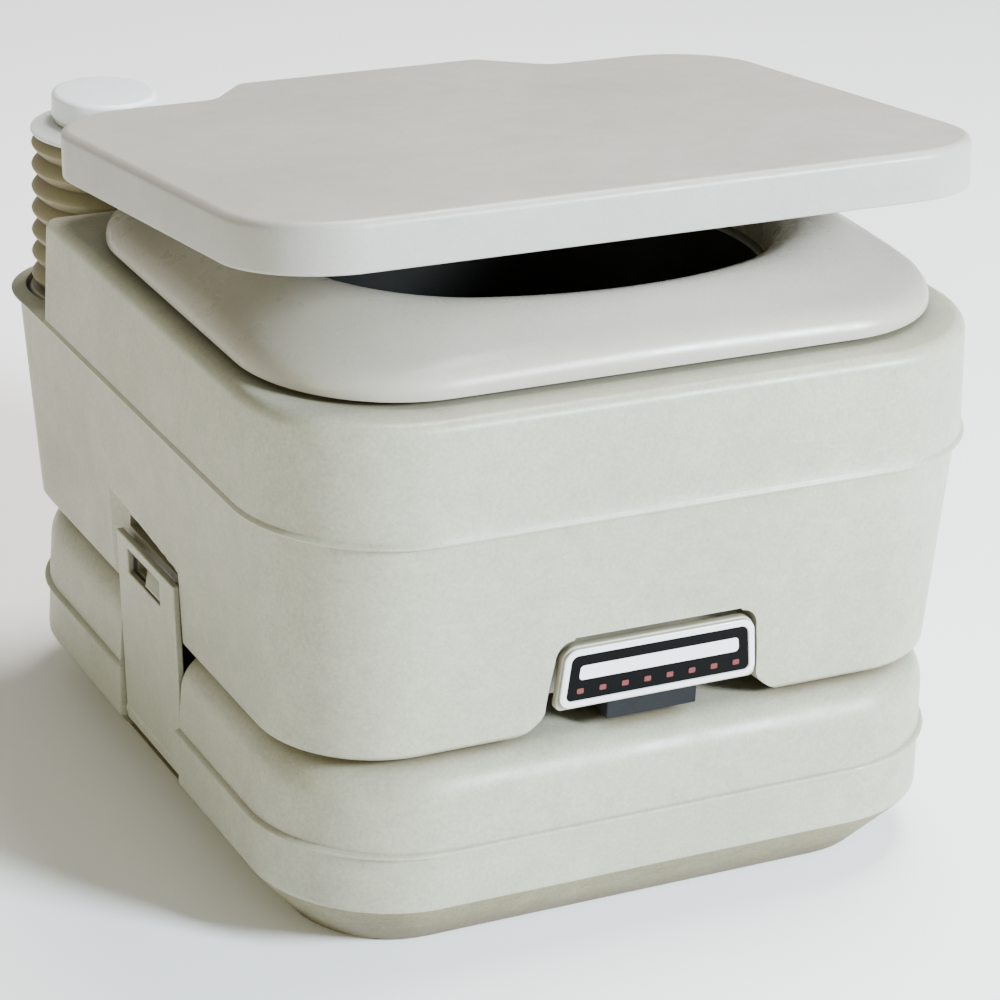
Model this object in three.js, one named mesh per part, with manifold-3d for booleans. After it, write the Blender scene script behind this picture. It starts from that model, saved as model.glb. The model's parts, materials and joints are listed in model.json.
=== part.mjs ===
// Small two-tank portable toilet: a holding tank below, a flush tank with its bowl above,
// a hinged seat and lid, a bellows flush pump, a slide valve and two side latches.
// Millimetres, +Z up, +Y to the back. The origin is on the floor, in the middle of the base.
import * as THREE from 'three';
import { mergeVertices } from 'three/addons/utils/BufferGeometryUtils.js';
import Module from 'manifold-3d';

const wasm = await Module();
wasm.setup();

// Driving dimensions
const WALL = 3;
const GAP = 0.3;
const CORNER_STEPS = 6;
const ROUND_STEPS = 32;

const HOLDING_TOP = 92;
const RIDGE_Z = 54;
const CHAMFER_TOP = 27;

const FLUSH_BOTTOM = 94;
const BAND_Z = 196;
const DECK_Z = 248.5;

const BOWL_SIDES = 40;
const OUTLET_RADIUS = 47;
const OUTLET_Y = -5;

const VALVE_CHANNEL = { half: 68, back: 63, top: 107 };
const ARCH = { half: 50, flare: 66, top: 139, depth: 15 };

const LATCH = { front: -27, back: 41, bottom: 27, top: 124, outerTop: 166.5, outerBottom: 160.5, thick: 3.5 };
const LATCH_PIVOT = { x: 157, z: 32, pin: 2, knuckle: 4.5 };
const LATCH_CHANNEL = { front: -29, back: 43, floorLow: 150, floorHigh: 160.5, bottom: 22, top: 131 };
const LATCH_WINDOW = { front: -10, back: 29, low: 107, high: 119 };

const HINGE = { y: 157, z: 266, pin: 3, eye: 7 };
const LID_AJAR = THREE.MathUtils.degToRad(7.23);
const LID = { half: 176, front: -144.5, back: 120, corner: 46, low: 268, high: 290, tongueEnd: 151 };
const SEAT = { half: 163, front: -152, back: 118, corner: 67, low: 251 };
const SEAT_HOLE = { a: 118, b: 94, y: -19 };

const PUMP = {
  x: -128, y: 157, floor: 190, rim: 197,
  bellowsLow: 197.3, bellowsHigh: 272.7, radius: 34, pitches: 7,
};
const FILL = { x: 125, y: 158, neck: 20, bore: 17 };
const SPOUT = { z: 56, neck: 30, bore: 26, wallY: 180, end: 204 };

const material = (color, roughness, metalness = 0) => (
  new THREE.MeshStandardMaterial({ color, roughness, metalness })
);
const shellPlastic = material(0xc8c8c2, 0.5);
const whitePlastic = material(0xe6eaee, 0.35);
const bellowsPlastic = material(0x9a8f6f, 0.6);
const valvePlastic = material(0x55585a, 0.5);
const labelPlastic = material(0x101114, 0.3);
const rubber = material(0x1c1c1c, 0.8);
const steel = material(0xb8babc, 0.3, 1);
const clearTube = material(0xd8dcd8, 0.3);

// Solids
function solidOf(geometry) {
  const plain = geometry.clone();
  for (const name of Object.keys(plain.attributes)) {
    if (name !== 'position') plain.deleteAttribute(name);
  }
  const merged = mergeVertices(plain, 1e-4);
  const index = merged.index.array;
  const position = merged.attributes.position.array;
  const corners = [];
  for (let i = 0; i < index.length; i += 3) {
    const [a, b, c] = [index[i], index[i + 1], index[i + 2]];
    if (a !== b && b !== c && c !== a) corners.push(a, b, c);
  }
  let volume = 0;
  const point = (i) => new THREE.Vector3().fromArray(position, i * 3);
  for (let i = 0; i < corners.length; i += 3) {
    volume += point(corners[i]).dot(point(corners[i + 1]).cross(point(corners[i + 2])));
  }
  if (volume < 0) corners.reverse();
  const source = {
    numProp: 3,
    vertProperties: new Float32Array(position),
    triVerts: new Uint32Array(corners),
  };
  return new wasm.Manifold(new wasm.Mesh(source));
}

const group = new THREE.Group();

function addNode(name, solid, look, parent = group) {
  const data = solid.getMesh();
  const geometry = new THREE.BufferGeometry();
  geometry.setAttribute('position', new THREE.BufferAttribute(new Float32Array(data.vertProperties), 3));
  geometry.setIndex(new THREE.BufferAttribute(new Uint32Array(data.triVerts), 1));
  geometry.computeVertexNormals();
  const mesh = new THREE.Mesh(geometry, look);
  mesh.name = name;
  parent.add(mesh);
}

function box(x0, x1, y0, y1, z0, z1) {
  const geometry = new THREE.BoxGeometry(x1 - x0, y1 - y0, z1 - z0);
  geometry.translate((x0 + x1) / 2, (y0 + y1) / 2, (z0 + z1) / 2);
  return solidOf(geometry);
}

// A rounded rectangle seen from above, as a ring of points at height z.
function roundedRing({ half, front, back, corner, backCorner = corner, z }, sideSteps = 1) {
  const centres = [
    [half - backCorner, back - backCorner, backCorner],
    [backCorner - half, back - backCorner, backCorner],
    [corner - half, front + corner, corner],
    [half - corner, front + corner, corner],
  ];
  const ring = [];
  centres.forEach(([x, y, radius], quarter) => {
    for (let step = 0; step <= CORNER_STEPS; step++) {
      const angle = (quarter + step / CORNER_STEPS) * Math.PI / 2;
      ring.push(new THREE.Vector3(x + radius * Math.cos(angle), y + radius * Math.sin(angle), z));
    }
    const [nextX, nextY, nextRadius] = centres[(quarter + 1) % 4];
    const angle = (quarter + 1) * Math.PI / 2;
    const start = ring[ring.length - 1];
    const endX = nextX + nextRadius * Math.cos(angle);
    const endY = nextY + nextRadius * Math.sin(angle);
    const end = new THREE.Vector3(endX, endY, z);
    for (let step = 1; step < sideSteps; step++) ring.push(start.clone().lerp(end, step / sideSteps));
  });
  return ring;
}

function ellipseRing({ a, b, y, z }, count = BOWL_SIDES) {
  return Array.from({ length: count }, (_, i) => {
    const angle = 2 * Math.PI * i / count;
    return new THREE.Vector3(a * Math.cos(angle), y + b * Math.sin(angle), z);
  });
}

// A skin over a stack of rings, closed by flat ends or by joining the last ring to the first.
function loft(rings, joined = false) {
  const count = rings[0].length;
  const index = [];
  const last = joined ? rings.length : rings.length - 1;
  for (let level = 0; level < last; level++) {
    const low = level * count;
    const high = ((level + 1) % rings.length) * count;
    for (let i = 0; i < count; i++) {
      const j = (i + 1) % count;
      index.push(low + i, low + j, high + j, low + i, high + j, high + i);
    }
  }
  if (!joined) {
    const top = (rings.length - 1) * count;
    for (let i = 1; i < count - 1; i++) index.push(0, i + 1, i, top, top + i, top + i + 1);
  }
  const geometry = new THREE.BufferGeometry().setFromPoints(rings.flat());
  geometry.setIndex(index);
  return solidOf(geometry);
}

const roundedLoft = (levels) => loft(levels.map((level) => roundedRing(level)));

// A turned piece: profile points are [radius, height]; the axis stands at x, y.
function turned(profile, x = 0, y = 0, sides = ROUND_STEPS) {
  const geometry = new THREE.LatheGeometry(profile.map(([r, h]) => new THREE.Vector2(r, h)), sides);
  geometry.rotateX(Math.PI / 2);
  geometry.translate(x, y, 0);
  return solidOf(geometry);
}

const disc = (r, z0, z1, x = 0, y = 0, sides = ROUND_STEPS) => (
  turned([[0, z0], [r, z0], [r, z1], [0, z1]], x, y, sides)
);

function washer(inner, outer, z0, z1, x = 0, y = 0) {
  return turned([[inner, z0], [outer, z0], [outer, z1], [inner, z1], [inner, z0]], x, y);
}

// A round bar along an axis, between two places on it.
function bar(radius, from, to, axis, sides = 16) {
  const geometry = new THREE.CylinderGeometry(radius, radius, to - from, sides);
  if (axis === 'x') geometry.rotateZ(Math.PI / 2);
  geometry.translate(axis === 'x' ? (from + to) / 2 : 0, axis === 'y' ? (from + to) / 2 : 0, 0);
  return solidOf(geometry);
}

// A flat plate cut to a [y, z] outline, standing across x from x0 to x1.
function sidePlate(outline, x0, x1) {
  const shape = new THREE.Shape(outline.map(([y, z]) => new THREE.Vector2(y, z)));
  const geometry = new THREE.ExtrudeGeometry(shape, { depth: x1 - x0, bevelEnabled: false });
  geometry.applyMatrix4(new THREE.Matrix4().set(0, 0, 1, x0, 1, 0, 0, 0, 0, 1, 0, 0, 0, 0, 0, 1));
  return solidOf(geometry);
}

// A flat plate cut to an [x, z] outline, standing across y from y0 to y1.
function frontPlate(outline, y0, y1) {
  const shape = new THREE.Shape(outline.map(([x, z]) => new THREE.Vector2(x, z)));
  const geometry = new THREE.ExtrudeGeometry(shape, { depth: y1 - y0, bevelEnabled: false });
  geometry.applyMatrix4(new THREE.Matrix4().set(1, 0, 0, 0, 0, 0, -1, y1, 0, 1, 0, 0, 0, 0, 0, 1));
  return solidOf(geometry);
}

const mirrored = (solid) => solid.mirror([1, 0, 0]);

// The outline of a hinge eye: an arc about the hinge axis joined to a foot.
function eyeOutline(foot, fromDegrees, toDegrees) {
  const arc = [];
  for (let step = 0; step <= 8; step++) {
    const angle = THREE.MathUtils.degToRad(fromDegrees + (toDegrees - fromDegrees) * step / 8);
    arc.push([HINGE.y + HINGE.eye * Math.cos(angle), HINGE.z + HINGE.eye * Math.sin(angle)]);
  }
  return [...foot, ...arc];
}

const hingeBore = bar(HINGE.pin + GAP, -90, 90, 'x').translate(0, HINGE.y, HINGE.z);

// Latch channels, cut in both tanks on both sides
function latchChannel(floor, low, high, grow = 0) {
  const { front, back } = LATCH_CHANNEL;
  const cut = box(-200, -(floor - grow), front - grow, back + grow, low - grow, high + grow);
  return cut.add(mirrored(cut));
}

// Holding tank
const holdingOuter = roundedLoft([
  { z: 0, half: 141, front: -152, back: 168, corner: 45 },
  { z: CHAMFER_TOP, half: 163, front: -174, back: 190, corner: 62 },
  { z: RIDGE_Z - 2, half: 163.5, front: -174, back: 190, corner: 65 },
  { z: RIDGE_Z - 1, half: 165, front: -175.5, back: 191.5, corner: 66 },
  { z: RIDGE_Z + 1, half: 165, front: -175.5, back: 191.5, corner: 66 },
  { z: RIDGE_Z + 2, half: 163.5, front: -174, back: 190, corner: 65 },
  { z: 78, half: 162.5, front: -173, back: 189, corner: 64 },
  { z: 86, half: 159.5, front: -170, back: 186, corner: 61 },
  { z: 90.5, half: 154, front: -164.5, back: 180.5, corner: 56 },
  { z: HOLDING_TOP, half: 147, front: -157.5, back: 173.5, corner: 49 },
]);
const holdingCavity = roundedLoft([
  { z: WALL, half: 139, front: -150, back: 166, corner: 43 },
  { z: CHAMFER_TOP, half: 159.5, front: -170.5, back: 186.5, corner: 59 },
  { z: 76, half: 159.5, front: -170, back: 186, corner: 59 },
  { z: HOLDING_TOP - WALL, half: 145, front: -155.5, back: 171.5, corner: 47 },
]).subtract(latchChannel(LATCH_CHANNEL.floorLow, LATCH_CHANNEL.bottom, 120, 2 * WALL));
const pinBoreSpan = [LATCH_CHANNEL.front - 4, LATCH_CHANNEL.back + 4];
const latchPinBore = bar(LATCH_PIVOT.pin + GAP, ...pinBoreSpan, 'y', 12)
  .translate(-LATCH_PIVOT.x, 0, LATCH_PIVOT.z);
const spoutNeck = bar(SPOUT.neck, SPOUT.wallY, SPOUT.end, 'y', 28).translate(0, 0, SPOUT.z);
const spoutBore = bar(SPOUT.bore, SPOUT.wallY - 10, SPOUT.end + 10, 'y', 28).translate(0, 0, SPOUT.z);
addNode('holding_tank', holdingOuter
  .subtract(holdingCavity)
  .add(spoutNeck)
  .subtract(spoutBore)
  .subtract(latchChannel(LATCH_CHANNEL.floorLow, LATCH_CHANNEL.bottom, 120))
  .subtract(latchPinBore.add(mirrored(latchPinBore)))
  .subtract(disc(OUTLET_RADIUS, 80, 100, 0, OUTLET_Y)), shellPlastic);

// Screw cap on the emptying spout at the back
const capRim = [
  [SPOUT.neck + GAP, 192], [34, 192], [34, 205], [32.5, 208], [0, 208], [0, 206],
  [SPOUT.neck + GAP, 206],
];
const alongY = (profile) => (
  turned([...profile, profile[0]], 0, 0, 28).rotate([-90, 0, 0]).translate(0, 0, SPOUT.z)
);
addNode('discharge_cap', alongY(capRim), shellPlastic);
const gasketRing = [[SPOUT.bore, 204.4], [29.5, 204.4], [29.5, 205.6], [SPOUT.bore, 205.6]];
addNode('discharge_cap_gasket', alongY(gasketRing), rubber);

// Flush tank with its bowl in one moulding
const flushOuter = roundedLoft([
  { z: FLUSH_BOTTOM, half: 157.5, front: -158.5, back: 174.5, corner: 48, backCorner: 34 },
  { z: 97, half: 162, front: -163, back: 179, corner: 52, backCorner: 36 },
  { z: BAND_Z - 1, half: 170, front: -170, back: 194, corner: 63, backCorner: 42 },
  { z: BAND_Z + 1, half: 172.5, front: -172.5, back: 196, corner: 66, backCorner: 44 },
  { z: 243, half: 171.5, front: -168.5, back: 195, corner: 65, backCorner: 44 },
  { z: 247, half: 169.5, front: -166.5, back: 193, corner: 63, backCorner: 42 },
  { z: DECK_Z, half: 165.5, front: -162.5, back: 189, corner: 59, backCorner: 38 },
]);
const bowlShape = (grow) => loft([
  { z: VALVE_CHANNEL.top - 8, a: OUTLET_RADIUS + grow, b: OUTLET_RADIUS + grow, y: OUTLET_Y },
  { z: 118, a: OUTLET_RADIUS + 1 + grow, b: OUTLET_RADIUS + 1 + grow, y: OUTLET_Y },
  { z: 150, a: 70 + grow, b: 63 + grow, y: -10 },
  { z: 200, a: 99 + grow, b: 80 + grow, y: -16 },
  { z: 240, a: 113 + grow, b: 91 + grow, y: SEAT_HOLE.y },
  { z: DECK_Z + 4, a: 116 + grow, b: 93 + grow, y: SEAT_HOLE.y },
].map((level) => ellipseRing(level)));

function archOutline(grow) {
  const side = [
    [ARCH.flare + grow, 80],
    [ARCH.flare + grow, FLUSH_BOTTOM],
    [ARCH.half + 8 + grow, 97],
    [ARCH.half + 3 + grow, 102],
    [ARCH.half + 1 + grow, 108],
    [ARCH.half - 2 + grow, ARCH.top - 8 + grow],
    [ARCH.half - 5 + grow, ARCH.top - 2 + grow],
    [ARCH.half - 12 + grow, ARCH.top + grow],
  ];
  return [...side, ...side.map(([x, z]) => [-x, z]).reverse()];
}
const arch = (grow) => frontPlate(archOutline(grow), -210, -165 + ARCH.depth + grow);
const valveChannel = (grow) => box(
  -VALVE_CHANNEL.half - grow, VALVE_CHANNEL.half + grow,
  -158, VALVE_CHANNEL.back + grow, 80, VALVE_CHANNEL.top + grow,
);
const pumpCorner = (grow, low) => roundedLoft([low, 260].map((z) => (
  { z, half: 75 + grow, front: -73 - grow, back: 73, corner: 38 }
))).translate(-160, 190, 0);

const flushCavity = roundedLoft([
  { z: FLUSH_BOTTOM + WALL, half: 158.5, front: -159.5, back: 175.5, corner: 49, backCorner: 33 },
  { z: BAND_Z, half: 167, front: -167, back: 191, corner: 60, backCorner: 39 },
  { z: DECK_Z - WALL, half: 168, front: -164.5, back: 191, corner: 61, backCorner: 40 },
])
  .subtract(bowlShape(WALL))
  .subtract(arch(WALL))
  .subtract(valveChannel(WALL))
  .subtract(latchChannel(LATCH_CHANNEL.floorHigh, 80, LATCH_CHANNEL.top, WALL))
  .subtract(pumpCorner(WALL, PUMP.floor - WALL));

const bossPlate = eyeOutline([[146, DECK_Z - 1], [168, DECK_Z - 1]], 0, 180);
const bossBand = sidePlate(bossPlate, 24, 33).add(sidePlate(bossPlate, 54, 63));
const latchLug = sidePlate([
  [LATCH_WINDOW.front + 1.5, LATCH_WINDOW.low + 1.5],
  [LATCH_WINDOW.back - 1.5, LATCH_WINDOW.low + 1.5],
  [LATCH_WINDOW.back - 1.5, LATCH_WINDOW.high - 2],
  [LATCH_WINDOW.front + 1.5, LATCH_WINDOW.high - 2],
], -165, -(LATCH_CHANNEL.floorHigh - 1));
const fillNeck = washer(FILL.bore, FILL.neck, DECK_Z - 2, 255, FILL.x, FILL.y);

addNode('flush_tank', flushOuter
  .subtract(flushCavity)
  .subtract(bowlShape(0))
  .subtract(arch(0))
  .subtract(valveChannel(0))
  .subtract(latchChannel(LATCH_CHANNEL.floorHigh, 80, LATCH_CHANNEL.top))
  .subtract(pumpCorner(0, PUMP.rim))
  .subtract(disc(36.5, PUMP.floor, 260, PUMP.x, PUMP.y))
  .subtract(disc(20, PUMP.floor - 8, 260, PUMP.x, PUMP.y))
  .subtract(disc(FILL.bore, DECK_Z - 8, 260, FILL.x, FILL.y))
  .subtract(bar(6 + GAP, 60, 92, 'y').translate(0, 0, 236))
  .add(fillNeck)
  .add(latchLug.add(mirrored(latchLug)))
  .add(bossBand.add(mirrored(bossBand)))
  .subtract(hingeBore), shellPlastic);

// Fill cap
addNode('fill_cap', turned([
  [0, 256], [FILL.neck + GAP, 256], [FILL.neck + GAP, 249.5], [24, 249.5], [24, 262], [22.5, 264], [0, 264],
], FILL.x, FILL.y), shellPlastic);
addNode('fill_cap_seal', washer(FILL.bore, 19.5, 255.3, 255.7, FILL.x, FILL.y), rubber);

// Slide valve between the tanks
const plateHole = disc(OUTLET_RADIUS, 80, 120, 0, OUTLET_Y);
const screwPlaces = [[-58, -63], [58, -63], [58, 53], [-58, 53]];
function valvePlate(z0, z1) {
  let plate = box(-64, 64, OUTLET_Y - 64, OUTLET_Y + 64, z0, z1).subtract(plateHole);
  for (const [x, y] of screwPlaces) plate = plate.subtract(disc(2.5 + GAP, 80, 120, x, y, 12));
  return plate;
}
addNode('valve_bottom_plate', valvePlate(HOLDING_TOP + GAP, 95.3), valvePlastic);
addNode('valve_seal', washer(OUTLET_RADIUS + 0.5, 51, 95.6, 97, 0, OUTLET_Y), rubber);
addNode('valve_top_plate', valvePlate(100.6, 103.6), valvePlastic);
screwPlaces.forEach(([x, y], i) => {
  const low = HOLDING_TOP + GAP;
  const profile = [[0, low], [2.5, low], [2.5, 103.9], [4.5, 103.9], [4, 106], [0, 106]];
  addNode(`valve_screw_${i + 1}`, turned(profile, x, y, 12), steel);
});
addNode('bowl_seal', washer(OUTLET_RADIUS, 54, 103.9, 106.7, 0, OUTLET_Y), rubber);
const bladeTail = box(-20, 20, -157.7, -60, 97.3, 100.3);
addNode('valve_blade', box(-50, 50, OUTLET_Y - 57, OUTLET_Y + 55, 97.3, 100.3).add(bladeTail), valvePlastic);

// Pull handle in the arch, with its name plate left blank
const handleOutline = [
  [-49, 107], [49, 107], [48, 128], [45, 134], [39, 136.5],
  [-39, 136.5], [-45, 134], [-48, 128],
];
addNode('valve_handle', frontPlate(handleOutline, -167, -163)
  .add(box(-22, 22, -164, -158, 97.3, 130)), shellPlastic);
const labelOutline = [
  [-44, 108.5], [44, 108.5], [47, 110], [48, 113], [46.5, 131], [45, 134], [42, 135.5],
  [-42, 135.5], [-45, 134], [-46.5, 131], [-48, 113], [-47, 110],
];
addNode('label_plate', frontPlate(labelOutline, -168.8, -167.3), labelPlastic);

// Side latches, each on a pin in the holding tank
function latch() {
  const outline = [
    [-LATCH.outerBottom, LATCH.bottom],
    [-LATCH.outerTop, LATCH.top],
    [-LATCH.outerTop + LATCH.thick, LATCH.top],
    [-LATCH.outerBottom + LATCH.thick, LATCH.bottom],
  ];
  const strap = frontPlate(outline, LATCH.front, LATCH.back);
  const knuckle = bar(LATCH_PIVOT.knuckle, LATCH.front, LATCH.back, 'y', 16)
    .translate(-LATCH_PIVOT.x, 0, LATCH_PIVOT.z);
  const bore = bar(LATCH_PIVOT.pin + GAP, LATCH.front - 5, LATCH.back + 5, 'y', 12);
  const cut = box(-175, -158, LATCH_WINDOW.front, LATCH_WINDOW.back, LATCH_WINDOW.low, LATCH_WINDOW.high);
  return strap.add(knuckle).subtract(bore.translate(-LATCH_PIVOT.x, 0, LATCH_PIVOT.z)).subtract(cut);
}
const latchPin = bar(LATCH_PIVOT.pin, LATCH_CHANNEL.front - 3.5, LATCH_CHANNEL.back + 3.5, 'y', 12)
  .translate(-LATCH_PIVOT.x, 0, LATCH_PIVOT.z);
addNode('left_latch', latch(), shellPlastic);
addNode('right_latch', mirrored(latch()), shellPlastic);
addNode('left_latch_pin', latchPin, steel);
addNode('right_latch_pin', mirrored(latchPin), steel);

// Hinge pins
const hingePin = bar(HINGE.pin, 23, 64, 'x').translate(0, HINGE.y, HINGE.z);
addNode('right_hinge_pin', hingePin, steel);
addNode('left_hinge_pin', mirrored(hingePin), steel);

// Seat: a hollow-backed ring, full and round on top
function seatRing(sections) {
  const edge = roundedRing({ ...SEAT, z: 0 }, 6);
  const middle = (SEAT.front + SEAT.back) / 2;
  const depth = (SEAT.back - SEAT.front) / 2;
  return loft(sections.map(([inward, z]) => edge.map((point) => {
    const angle = Math.atan2((point.y - middle) / depth, point.x / SEAT.half);
    const innerX = SEAT_HOLE.a * Math.cos(angle);
    const innerY = SEAT_HOLE.y + SEAT_HOLE.b * Math.sin(angle);
    const inner = new THREE.Vector3(innerX, innerY, 0);
    const place = point.clone().lerp(inner, inward);
    return new THREE.Vector3(place.x, place.y, z);
  })), true);
}
const seatTop = [
  [0, 251], [0.02, 257], [0.13, 264], [0.33, 270.5], [0.52, 275.5],
  [0.7, 277.5], [0.85, 275.5], [0.96, 269], [1, 262], [1, 251],
];
const seatUnder = [
  [0.09, 249], [0.11, 255], [0.24, 262], [0.42, 268.5], [0.58, 272],
  [0.72, 273.5], [0.82, 271], [0.9, 262], [0.91, 249],
];
const seatEye = eyeOutline([[118, 264], [109, 262], [109, 253]], -90, 110);
const seatEars = sidePlate(seatEye, 44, 53);
addNode('seat', seatRing(seatTop)
  .subtract(seatRing(seatUnder))
  .add(seatEars.add(mirrored(seatEars)))
  .subtract(hingeBore), shellPlastic);
let bumperNumber = 0;
for (const x of [-141, 141]) {
  for (const y of [-60, 50]) {
    bumperNumber += 1;
    addNode(`seat_bumper_${bumperNumber}`, disc(6, DECK_Z + GAP, 252.5, x, y, 16), rubber);
  }
}

// Lid, made shut and then raised about the hinge
const lidOuter = roundedLoft([
  { z: LID.low, half: LID.half - 1, front: LID.front + 1, back: LID.back - 1, corner: LID.corner - 1 },
  { z: LID.low + 1.5, ...LID },
  { z: LID.high - 3, ...LID },
  { z: LID.high - 0.8, half: LID.half - 1.2, front: LID.front + 1.2, back: LID.back - 1.2, corner: LID.corner - 1.2 },
  { z: LID.high, half: LID.half - 3.5, front: LID.front + 3.5, back: LID.back - 3.5, corner: LID.corner - 3.5 },
]);
const lidHollow = roundedLoft([LID.low - 5, LID.high - WALL].map((z) => (
  { z, half: LID.half - 2.5, front: LID.front + 2.5, back: LID.back - 2.5, corner: LID.corner - 2.5 }
)));
const tongueShape = new THREE.Shape([
  [88, LID.back - 3], [66, LID.tongueEnd - 3], [60, LID.tongueEnd],
  [-60, LID.tongueEnd], [-66, LID.tongueEnd - 3], [-88, LID.back - 3],
].map(([x, y]) => new THREE.Vector2(x, y)));
const tongueGeometry = new THREE.ExtrudeGeometry(tongueShape, { depth: 6, bevelEnabled: false });
tongueGeometry.translate(0, 0, LID.high - 6);
const lidEye = eyeOutline([[LID.tongueEnd - 1, 285], [131, 285]], 190, 380);
const lidEars = sidePlate(lidEye, 34, 43);
const lidSolid = lidOuter
  .subtract(lidHollow)
  .add(solidOf(tongueGeometry))
  .add(lidEars.add(mirrored(lidEars)))
  .subtract(hingeBore);

const lidGroup = new THREE.Group();
lidGroup.position.set(0, HINGE.y, HINGE.z);
lidGroup.rotation.x = -LID_AJAR;
group.add(lidGroup);
addNode('lid', lidSolid.translate(0, -HINGE.y, -HINGE.z), shellPlastic, lidGroup);
[-70, 70].forEach((x, i) => {
  const bumper = disc(6, 279, LID.high - WALL - GAP, x, -121, 16);
  addNode(`lid_bumper_${i + 1}`, bumper.translate(0, -HINGE.y, -HINGE.z), rubber, lidGroup);
});

// Bellows pump in the rear left corner
addNode('pump_base', turned([
  [6, 178], [14, 178], [14, PUMP.floor - 2], [19, PUMP.floor - 2], [19, PUMP.floor + GAP],
  [36, PUMP.floor + GAP], [36, 194], [34, PUMP.rim], [6, PUMP.rim], [6, 178],
], PUMP.x, PUMP.y), shellPlastic);
const pitch = (PUMP.bellowsHigh - PUMP.bellowsLow) / PUMP.pitches;
const folds = [[22, PUMP.bellowsHigh], [22, PUMP.bellowsLow], [29, PUMP.bellowsLow]];
for (let i = 0; i < PUMP.pitches; i++) {
  const low = PUMP.bellowsLow + i * pitch;
  folds.push([PUMP.radius, low + pitch * 0.3], [PUMP.radius, low + pitch * 0.7], [29, low + pitch]);
}
addNode('pump_bellows', turned([...folds, folds[0]], PUMP.x, PUMP.y, 24), bellowsPlastic);
addNode('pump_flange', turned([
  [0, 273], [34.5, 273], [34.5, 275], [28, 278], [0, 278],
], PUMP.x, PUMP.y), whitePlastic);
addNode('pump_knob', turned([
  [0, 278.3], [23, 278.3], [24.5, 280], [24.5, 289.5], [23, 291.8], [19, 292.5], [0, 292.5],
], PUMP.x, PUMP.y), whitePlastic);
addNode('pump_valve_disc', disc(14, PUMP.rim + GAP, 199, PUMP.x, PUMP.y, 24), rubber);
addNode('pump_intake_tube', washer(6, 9, 105, 177.7, PUMP.x, PUMP.y), clearTube);
addNode('pump_strainer', turned([
  [0, 99], [12, 99], [12, 104], [8, 104.7], [0, 104.7],
], PUMP.x, PUMP.y, 20), valvePlastic);

// Flush water path: a tube inside the tank to a nozzle in the back of the bowl
const nozzleFan = box(-11, 11, 62, 67, 231, 241);
addNode('flush_nozzle', bar(6, 66, 96, 'y').translate(0, 0, 236).add(nozzleFan), shellPlastic);
const route = new THREE.CatmullRomCurve3([
  [-108, 157, 180], [-100, 150, 165], [-70, 130, 165], [-25, 130, 205],
  [-2, 125, 232], [0, 112, 236], [0, 97.5, 236],
].map((point) => new THREE.Vector3(...point)));
const section = new THREE.Shape().absarc(0, 0, 4, 0, 2 * Math.PI);
const tube = new THREE.ExtrudeGeometry(section, { extrudePath: route, steps: 30, curveSegments: 5 });
addNode('flush_tube', solidOf(tube), clearTube);

export default group;
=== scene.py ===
"""Portable toilet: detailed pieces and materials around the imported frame.

The scene is in metres, +Z up, +Y to the back. Shapes are written in millimetres and scaled by MM.
"""
import json
import math

import bmesh
import bpy
from mathutils import Matrix, Vector


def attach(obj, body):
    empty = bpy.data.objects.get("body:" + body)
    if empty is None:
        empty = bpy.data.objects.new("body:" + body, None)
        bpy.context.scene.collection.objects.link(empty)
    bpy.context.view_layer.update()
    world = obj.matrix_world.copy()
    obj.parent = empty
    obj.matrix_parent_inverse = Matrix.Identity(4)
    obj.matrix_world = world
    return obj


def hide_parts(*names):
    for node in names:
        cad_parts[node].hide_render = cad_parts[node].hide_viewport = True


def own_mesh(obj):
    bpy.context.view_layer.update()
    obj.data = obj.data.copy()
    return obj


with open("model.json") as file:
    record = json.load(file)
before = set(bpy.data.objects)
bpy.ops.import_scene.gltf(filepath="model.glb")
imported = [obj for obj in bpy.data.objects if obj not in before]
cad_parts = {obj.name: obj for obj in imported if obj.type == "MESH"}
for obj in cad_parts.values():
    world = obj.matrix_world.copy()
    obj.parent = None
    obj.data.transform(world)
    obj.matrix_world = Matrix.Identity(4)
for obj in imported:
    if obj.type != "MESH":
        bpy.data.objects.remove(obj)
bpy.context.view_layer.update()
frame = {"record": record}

MM = 0.001

# Driving sizes in millimetres, as the frame has them
CORNER_STEPS = 20
CAP_STEPS = 144
CAP_GRIPS = 36
SHARP_ANGLE = 38
HOLDING_TOP = 92
RIDGE = 54
CHAMFER = 27
FLUSH_BOTTOM = 94
BAND = 196
DECK = 248.5
OUTLET = (47, 47, -5)
SEAT_HOLE = (118, 94, -19)
ARCH_TOP = 139
ARCH_BACK = -150
ARCH_CORNER = 8.0
ARCH_WAIST = 107
LINTEL = 131
SPOUT_HEIGHT = 56
CHANNEL_Y = (-29, 43)
RECESS_BACK = 53
RECESS_FLOOR = 160.4
HINGE = (157, 266)
EYE = 7
AJAR = math.radians(7.23)
LID_LOW, LID_HIGH = 268, 290
PUMP = (-128, 157)
FILL = (125, 158)


# ---------------------------------------------------------------- materials
def nodes_of(name):
    material = bpy.data.materials.new(name)
    material.use_nodes = True
    tree = material.node_tree
    tree.nodes.clear()
    output = tree.nodes.new("ShaderNodeOutputMaterial")
    shader = tree.nodes.new("ShaderNodeBsdfPrincipled")
    tree.links.new(shader.outputs[0], output.inputs[0])
    return material, tree, shader


def noise(tree, where, scale, detail=2.0, rough=0.5):
    node = tree.nodes.new("ShaderNodeTexNoise")
    node.inputs["Scale"].default_value = scale
    node.inputs["Detail"].default_value = detail
    node.inputs["Roughness"].default_value = rough
    tree.links.new(where, node.inputs["Vector"])
    return node.outputs["Fac"]


def remap(tree, value, low, high, to_low, to_high):
    node = tree.nodes.new("ShaderNodeMapRange")
    for socket, number in zip(("From Min", "From Max", "To Min", "To Max"), (low, high, to_low, to_high)):
        node.inputs[socket].default_value = number
    tree.links.new(value, node.inputs["Value"])
    return node.outputs["Result"]


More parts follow.
